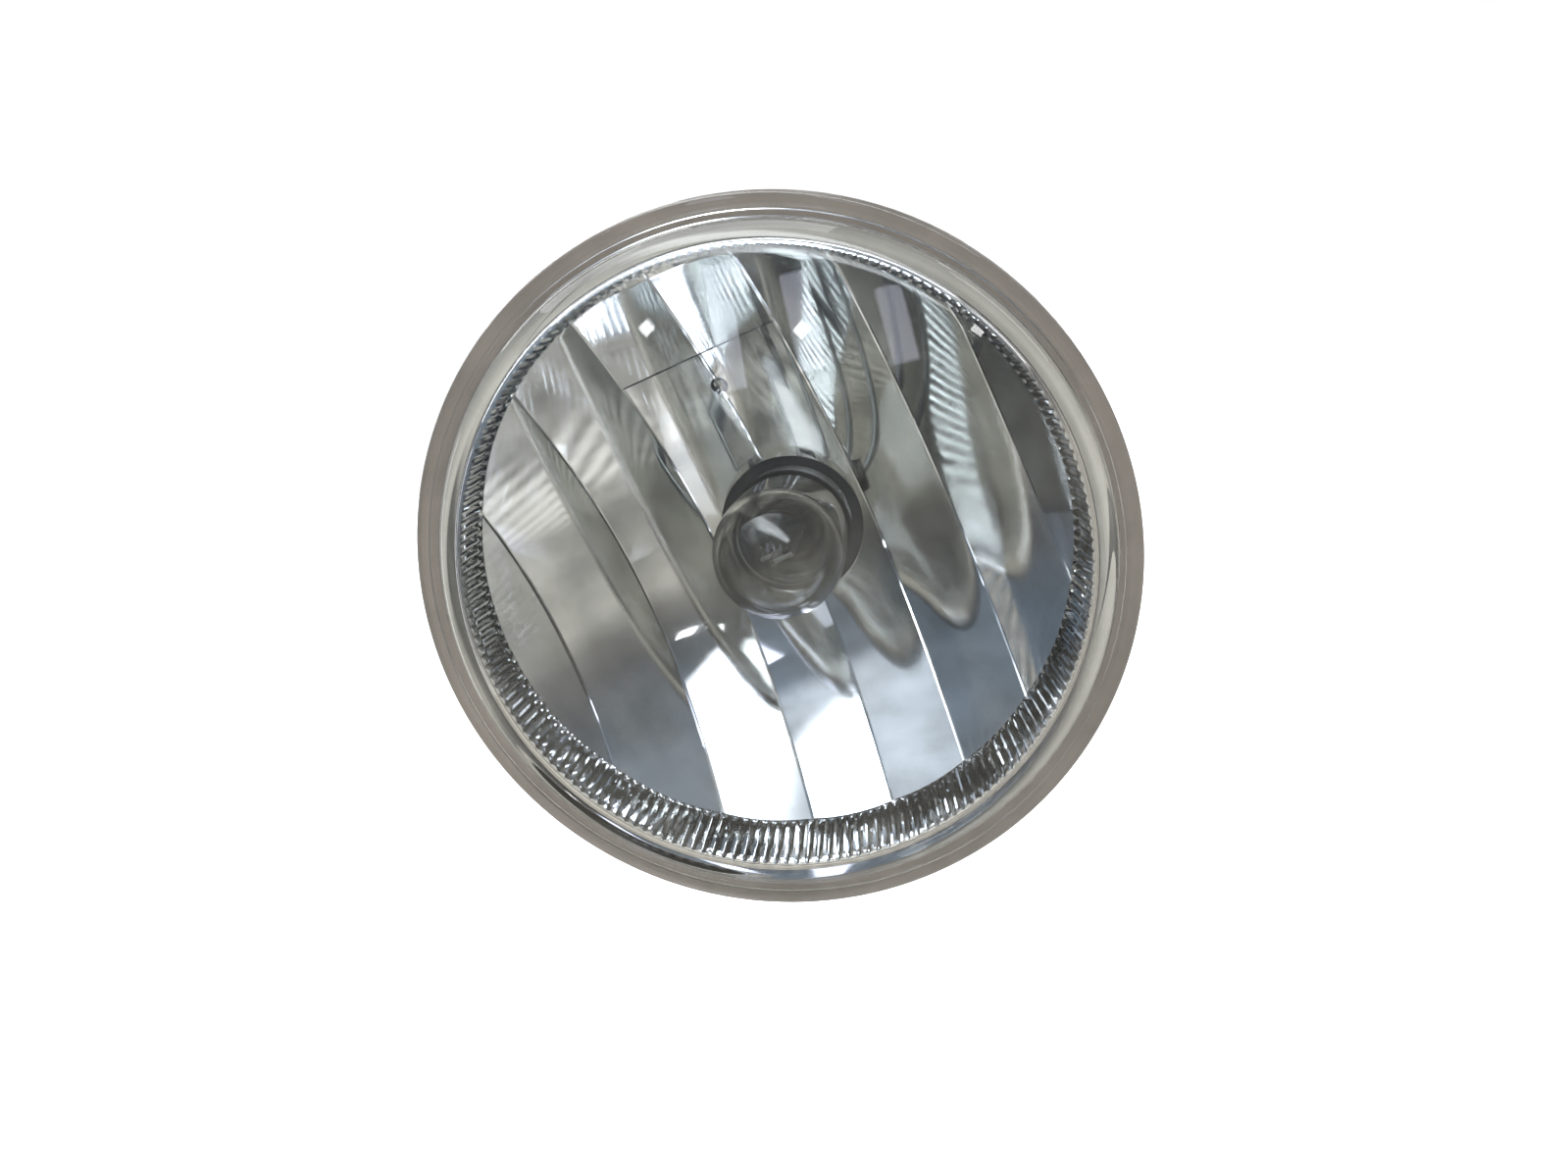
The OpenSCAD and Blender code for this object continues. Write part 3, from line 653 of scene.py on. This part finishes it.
# ---------------------------------------------------------------- threaded pieces
STUD_PITCH, STUD_THREAD, SCREW_PITCH, SCREW_THREAD = 0.8, 0.42, 2.0, 0.55
ROWS_PER_TURN, THREAD_FADE, FLANK_SLOPE, CREST = 12, 0.5, 1.7, 0.35
ROD_SIDES = 36
STUD_HEAD_R, STUD_HEAD_H, STUD_ANGLES = 5.0, 2.4, (90, 210, 330)
SPLINES, SPLINE_OUT, SPLINE_DEPTH = 18, 0.3, 0.12
SCREW_R, CLIP_GROOVE_R, SCREW_HEX_R, DRIVE_HEX_R, DRIVE_DEPTH = 2.5, 2.0, 4.6, 1.8, 2.4


def hexagon(radius):
    """The outline of a hexagon with the given corner radius, as a radius by angle."""
    return lambda a: radius * math.cos(TAU / 12) / math.cos(a % (TAU / 6) - TAU / 12)


def thread_rows(start, end, major, pitch, depth):
    """(depth, radius by angle) rows of a screw thread that runs out at both ends."""
    rows = []
    count = math.ceil((end - start) / pitch * ROWS_PER_TURN)
    for i in range(count + 1):
        d = start + (end - start) * i / count
        full = min(1.0, (d - start) / THREAD_FADE, (end - d) / THREAD_FADE)

        def radius(a, d=d, full=full):
            phase = (d / pitch - a / TAU) % 1.0
            root = max(0.0, min(1.0, FLANK_SLOPE * abs(2 * phase - 1) - CREST))
            return major - depth * full * root

        rows.append((d, radius))
    return rows


def rod(rows, x, z):
    """A closed bar along the depth axis through (x, z) in millimetres."""
    verts, faces = [], []
    for d, radius in rows:
        for k in range(ROD_SIDES):
            a = TAU * k / ROD_SIDES
            r = radius(a) if callable(radius) else radius
            verts.append(((x + r * math.cos(a)) * MM, FLANGE_Y + d * MM,
                          (z + r * math.sin(a)) * MM))
    for i in range(len(rows) - 1):
        here, ahead = i * ROD_SIDES, (i + 1) * ROD_SIDES
        for k in range(ROD_SIDES):
            n = (k + 1) % ROD_SIDES
            faces.append((here + k, ahead + k, ahead + n, here + n))
    faces.append(tuple(range(ROD_SIDES)))
    faces.append(tuple(len(verts) - 1 - k for k in range(ROD_SIDES)))
    return verts, faces


def combine(parts):
    """One list of points and faces from several."""
    verts, faces = [], []
    for more_verts, more_faces in parts:
        start = len(verts)
        verts += more_verts
        faces += [tuple(start + v for v in face) for face in more_faces]
    return verts, faces


def finish_piece(name, parts, node, sharp):
    obj = add_mesh(name, *combine(parts))
    weld(obj)
    sharpen(obj, sharp)
    stand_for(obj, node)


def build_studs():
    """Three studs with a flat head, a splined collar in the bracket and a thread behind it."""
    low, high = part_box("mount_studs")
    front, tip = (low[1] - FLANGE_Y) / MM, (high[1] - FLANGE_Y) / MM
    circle = frame["record"]["mounts"][0]["dims"]["pcd_mm"] / 2
    major = frame["record"]["mounts"][0]["dims"]["stud_r_mm"]
    face = -FLANGE_Y / MM

    def spline(a):
        return major + SPLINE_OUT - SPLINE_DEPTH * (0.5 + 0.5 * math.cos(SPLINES * a))

    head = [(front, STUD_HEAD_R - 1.0), (front + 0.15, STUD_HEAD_R - 0.5),
            (front + 0.5, STUD_HEAD_R - 0.1), (front + 1.2, STUD_HEAD_R),
            (front + STUD_HEAD_H, STUD_HEAD_R)]
    collar = [(front + STUD_HEAD_H, spline), (face, spline)]
    point = [(tip - 0.5, major - 0.3), (tip, major - 0.8)]
    rows = head + collar + thread_rows(face, tip - 0.5, major, STUD_PITCH, STUD_THREAD) + point
    finish_piece("mount_studs_threaded",
                 [rod(rows, circle * math.cos(math.radians(a)), circle * math.sin(math.radians(a)))
                  for a in STUD_ANGLES], "mount_studs", 40)


def build_aiming_screw():
    """Thread, groove for the clip, plain journal and a hexagon head with a hexagon socket."""
    low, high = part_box("adjuster_screw")
    clip_low, clip_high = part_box("adjuster_clip")
    washer_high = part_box("adjuster_washer")[1]
    front, back = (low[1] - FLANGE_Y) / MM, (high[1] - FLANGE_Y) / MM
    clip = [(v[1] - FLANGE_Y) / MM for v in (clip_low, clip_high)]
    head = (washer_high[1] - FLANGE_Y) / MM
    z = (low[2] + high[2]) / 2 / MM
    rows = [(front, SCREW_R - 0.9), (front + 0.5, SCREW_R - 0.4)]
    rows += thread_rows(front + 0.6, clip[0] - 0.4, SCREW_R, SCREW_PITCH, SCREW_THREAD)
    rows += [(clip[0], SCREW_R - 0.05), (clip[0], CLIP_GROOVE_R), (clip[1], CLIP_GROOVE_R),
             (clip[1], SCREW_R), (head, SCREW_R)]
    rows += [(head, hexagon(SCREW_HEX_R - 0.3)), (head + 0.25, hexagon(SCREW_HEX_R)),
             (back - 0.4, hexagon(SCREW_HEX_R)), (back, hexagon(SCREW_HEX_R - 0.4))]
    rows += [(back, hexagon(DRIVE_HEX_R + 0.2)), (back - 0.3, hexagon(DRIVE_HEX_R)),
             (back - DRIVE_DEPTH, hexagon(DRIVE_HEX_R)), (back - DRIVE_DEPTH - 0.5, 0.5)]
    finish_piece("adjuster_screw_threaded", [rod(rows, 0, z)], "adjuster_screw", 35)


build_lens()
build_reflector()
build_bulb_glass()
build_filament()
build_studs()
build_aiming_screw()


# ---------------------------------------------------------------- stage and light
FLOOR_REACH, FLOOR_DROP, FLOOR_SIDES = 8.0, 0.16, 24
FLOOR_DIM, FLOOR_PALE, FLOOR_GLOW = (0.90, 0.90, 0.90, 1), (0.94, 0.94, 0.94, 1), 0.8


def add_floor():
    """A pale ground well below the lamp, seen by the camera only."""
    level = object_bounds()[0][2] - FLOOR_DROP
    verts = [(FLOOR_REACH * math.cos(TAU * k / FLOOR_SIDES),
              FLOOR_REACH * math.sin(TAU * k / FLOOR_SIDES), level) for k in range(FLOOR_SIDES)]
    floor = add_mesh("studio_floor", verts, [tuple(range(FLOOR_SIDES))])
    mat, tree, shader = new_material("pale_floor")
    cloud = noise(tree, 3.0, 2.0, 0.5)
    tree.links.new(ramp(tree, cloud, FLOOR_DIM, FLOOR_PALE), shader.inputs["Base Color"])
    shader.inputs["Roughness"].default_value = 0.8
    shader.inputs["Emission Color"].default_value = (1, 1, 1, 1)
    shader.inputs["Emission Strength"].default_value = FLOOR_GLOW
    floor.data.materials.append(mat)
    floor.visible_glossy = False
    floor.visible_diffuse = False
    floor.visible_transmission = False


def panel(name, toward, size, radiance, colour, distance, turn=0.0):
    """A rectangular soft light that faces the lamp from a given direction."""
    data = bpy.data.lights.new(name, "AREA")
    data.shape = "RECTANGLE"
    data.size, data.size_y = size
    data.energy = radiance * math.pi * size[0] * size[1]
    data.color = colour
    lamp = bpy.data.objects.new(name, data)
    bpy.context.scene.collection.objects.link(lamp)
    away = Vector(toward).normalized()
    centre = Vector((0, FLANGE_Y, 0))
    face = (-away).to_track_quat("-Z", "Y").to_matrix().to_4x4()
    spin = Matrix.Rotation(math.radians(turn), 4, "Z")
    lamp.matrix_world = Matrix.Translation(centre + away * distance) @ face @ spin


def ratio(tree, top, bottom):
    """A node that divides one source by another."""
    node = add_node(tree, "ShaderNodeMath", operation="DIVIDE")
    tree.links.new(top, node.inputs[0])
    tree.links.new(bottom, node.inputs[1])
    return node.outputs[0]


def product(tree, sources, gain=1.0):
    """All the sources multiplied together, and by the gain."""
    result = None
    for source in sources:
        node = add_node(tree, "ShaderNodeMath", operation="MULTIPLY")
        tree.links.new(source, node.inputs[0])
        if result is None:
            node.inputs[1].default_value = gain
        else:
            tree.links.new(result, node.inputs[1])
        result = node.outputs[0]
    return result


def soft_step(tree, source, start, end):
    """0 before start and 1 after end, smooth between; start may be the larger one."""
    low, high = min(start, end), max(start, end)
    up = 1.0 if end > start else 0.0
    node = add_node(tree, "ShaderNodeMapRange",
                    {"From Min": low, "From Max": high, "To Min": 1.0 - up, "To Max": up},
                    interpolation_type="SMOOTHSTEP")
    tree.links.new(source, node.inputs["Value"])
    return node.outputs["Result"]


def soft_band(tree, source, low, high, soft):
    """1 between low and high, with both edges soft."""
    return product(tree, [soft_step(tree, source, low - soft / 2, low + soft / 2),
                          soft_step(tree, source, high + soft / 2, high - soft / 2)])


COOL, WARM, LAVENDER = (0.93, 0.97, 1.0), (1.0, 0.96, 0.88), (0.80, 0.84, 1.0)
NEUTRAL = (1, 1, 1)
# the room's tones by height, from straight below to straight above
TONE_BELOW, TONE_ABOVE = (0.50, 0.47, 0.41, 1), (0.30, 0.38, 0.47, 1)
TONES = ((0.20, (0.62, 0.585, 0.50, 1)), (0.42, (0.60, 0.57, 0.49, 1)),
         (0.48, (0.25, 0.235, 0.21, 1)), (0.55, (0.12, 0.12, 0.12, 1)),
         (0.70, (0.13, 0.17, 0.215, 1)))
STREAKS, STREAK_SHADES = (9.0, 9.0, 1.1), (0.62, 1.35)
# bands are (low, high) sideways or forwards over height; a SOFT value is the width of their edges
FIGURE_X, FIGURE_Z, FIGURE_SOFT, FIGURE_SHADE = (0.05, 0.44), (-0.62, 0.22), 0.16, 0.22
FIGURE_AHEAD, CEILING_FROM, GROUND_FROM = (-0.4, -0.6), (0.15, 0.3), (-0.5, -0.65)
WHITE_X, WHITE_Y, WHITE_TILT, WHITE_GAIN = (-0.16, 1.8), (-0.74, -0.16), 1.1, 9.0
WHITE_SOFT_X, WHITE_SOFT_Y = 0.35, 0.3
DIM_X, DIM_Y, DIM_GAIN = (-0.75, 0.6), (-1.1, -0.2), 0.6
DIM_SOFT_X, DIM_SOFT_Y = 0.2, 0.3
RIPPLE_Y, RIPPLE_SOFT, RIPPLE_GAIN = (0.35, 0.75), 0.15, 0.75
BACKDROP_GAIN = 1.05


def add_world():
    """Plain white behind the object; everything else sees a dim room, warm below and cool above."""
    world = bpy.data.worlds.new("studio")
    bpy.context.scene.world = world
    world.use_nodes = True
    tree = world.node_tree
    room = tree.nodes["Background"]
    output = next(n for n in tree.nodes if n.type == "OUTPUT_WORLD")
    coord = add_node(tree, "ShaderNodeTexCoord")
    parts = add_node(tree, "ShaderNodeSeparateXYZ")
    tree.links.new(coord.outputs["Generated"], parts.inputs[0])
    height = add_node(tree, "ShaderNodeMapRange", {"From Min": -1.0, "From Max": 1.0})
    tree.links.new(parts.outputs["Z"], height.inputs["Value"])
    tones = add_node(tree, "ShaderNodeValToRGB")
    stops = tones.color_ramp.elements
    stops[0].position, stops[0].color = 0.0, TONE_BELOW
    stops[1].position, stops[1].color = 1.0, TONE_ABOVE
    for place, colour in TONES:
        stops.new(place).color = colour
    tree.links.new(height.outputs["Result"], tones.inputs["Fac"])
    # upright streaks
    mapping = add_node(tree, "ShaderNodeMapping", {"Scale": STREAKS})
    streaks = add_node(tree, "ShaderNodeTexNoise", {"Scale": 1.0, "Detail": 3.0, "Roughness": 0.5})
    tree.links.new(coord.outputs["Generated"], mapping.inputs["Vector"])
    tree.links.new(mapping.outputs["Vector"], streaks.inputs["Vector"])
    lively = spread(tree, streaks.outputs["Fac"], *STREAK_SHADES)
    # whoever stands by the camera is a dark shape in the mirror
    figure = product(tree, [soft_band(tree, parts.outputs["X"], *FIGURE_X, FIGURE_SOFT),
                            soft_band(tree, parts.outputs["Z"], *FIGURE_Z, FIGURE_SOFT),
                            soft_step(tree, parts.outputs["Y"], *FIGURE_AHEAD)])
    unlit = add_node(tree, "ShaderNodeMapRange", {"To Min": 1.0, "To Max": FIGURE_SHADE})
    tree.links.new(figure, unlit.inputs["Value"])
    strength = product(tree, [lively, unlit.outputs["Result"]])
    tree.links.new(tones.outputs["Color"], room.inputs["Color"])
    tree.links.new(strength, room.inputs["Strength"])
    # the white ceiling, its dimmer left part and the rippled bright band below, all with soft edges
    aside = ratio(tree, parts.outputs["X"], parts.outputs["Z"])
    ahead = ratio(tree, parts.outputs["Y"], parts.outputs["Z"])
    slant = add_node(tree, "ShaderNodeMath", operation="MULTIPLY_ADD")
    tree.links.new(aside, slant.inputs[0])
    slant.inputs[1].default_value = WHITE_TILT
    tree.links.new(ahead, slant.inputs[2])
    above = soft_step(tree, parts.outputs["Z"], *CEILING_FROM)
    white = product(tree, [soft_band(tree, aside, *WHITE_X, WHITE_SOFT_X),
                           soft_band(tree, slant.outputs[0], *WHITE_Y, WHITE_SOFT_Y), above])
    dim = product(tree, [soft_band(tree, aside, *DIM_X, DIM_SOFT_X),
                         soft_band(tree, ahead, *DIM_Y, DIM_SOFT_Y), above, lively])
    plane = add_node(tree, "ShaderNodeCombineXYZ")
    tree.links.new(aside, plane.inputs["X"])
    tree.links.new(ahead, plane.inputs["Y"])
    ripples = add_node(tree, "ShaderNodeTexWave", {"Scale": 5.0, "Distortion": 3.0, "Detail": 2.0})
    tree.links.new(plane.outputs[0], ripples.inputs["Vector"])
    below = soft_step(tree, parts.outputs["Z"], *GROUND_FROM)
    band = product(tree, [soft_band(tree, ahead, *RIPPLE_Y, RIPPLE_SOFT), below,
                          ripples.outputs["Fac"]])
    lit = room.outputs[0]
    for amount, gain, colour in ((white, WHITE_GAIN, COOL), (dim, DIM_GAIN, COOL),
                                 (band, RIPPLE_GAIN, WARM)):
        glow = add_node(tree, "ShaderNodeBackground", {"Color": rgba(colour)})
        tree.links.new(product(tree, [amount], gain), glow.inputs["Strength"])
        both = add_node(tree, "ShaderNodeAddShader")
        tree.links.new(lit, both.inputs[0])
        tree.links.new(glow.outputs[0], both.inputs[1])
        lit = both.outputs[0]
    plain = add_node(tree, "ShaderNodeBackground",
                     {"Color": (1, 1, 1, 1), "Strength": BACKDROP_GAIN})
    path = add_node(tree, "ShaderNodeLightPath")
    mix = add_node(tree, "ShaderNodeMixShader")
    tree.links.new(path.outputs["Is Camera Ray"], mix.inputs[0])
    tree.links.new(lit, mix.inputs[1])
    tree.links.new(plain.outputs[0], mix.inputs[2])
    tree.links.new(mix.outputs[0], output.inputs["Surface"])


SPOTS = ((-0.26, 0.55), (0.12, 0.36), (0.56, 0.19))
SPOT_SIDE, SPOT_GAIN, SPOT_TURN = 0.035, 14.0, 25
WINDOWS = ((-0.06, 0.45, 0.36), (0.13, 0.38, 0.28), (0.35, 0.28, 0.22))
WINDOW_WIDE, WINDOW_GAIN, WINDOW_TURN = 0.075, 2.4, -12
FRONT_DISTANCE, ROOM_DISTANCE = 1.2, 1.1


def add_lights():
    """Small lights in front, seen in the mirror, and large soft ones round the lamp."""
    for k, (x, z) in enumerate(SPOTS):
        panel(f"spot_{k}", (x, -1, z), (SPOT_SIDE, SPOT_SIDE), SPOT_GAIN, NEUTRAL,
              FRONT_DISTANCE, SPOT_TURN)
    for k, (x, z, tall) in enumerate(WINDOWS):
        panel(f"window_{k}", (x, -1, z), (WINDOW_WIDE, tall), WINDOW_GAIN, LAVENDER,
              FRONT_DISTANCE, WINDOW_TURN)
    for name, toward, size, gain, colour in (
            ("overhead", (0.0, 0.12, 1.0), (1.3, 0.8), 2.6, NEUTRAL),
            ("side_fill", (1.0, 0.5, 0.4), (0.5, 0.5), 2.2, (1.0, 0.97, 0.93)),
            ("other_side_fill", (-1.0, 0.45, 0.2), (0.3, 0.8), 1.6, (0.94, 0.97, 1.0)),
            ("back_fill", (-0.5, 1.0, 0.9), (0.7, 0.5), 4.6, NEUTRAL),
            ("back_edge", (0.7, 1.0, 0.1), (0.16, 0.8), 3.0, NEUTRAL)):
        panel(name, toward, size, gain, colour, ROOM_DISTANCE)


add_floor()
add_world()
add_lights()
bpy.context.scene.view_settings.view_transform = "Standard"
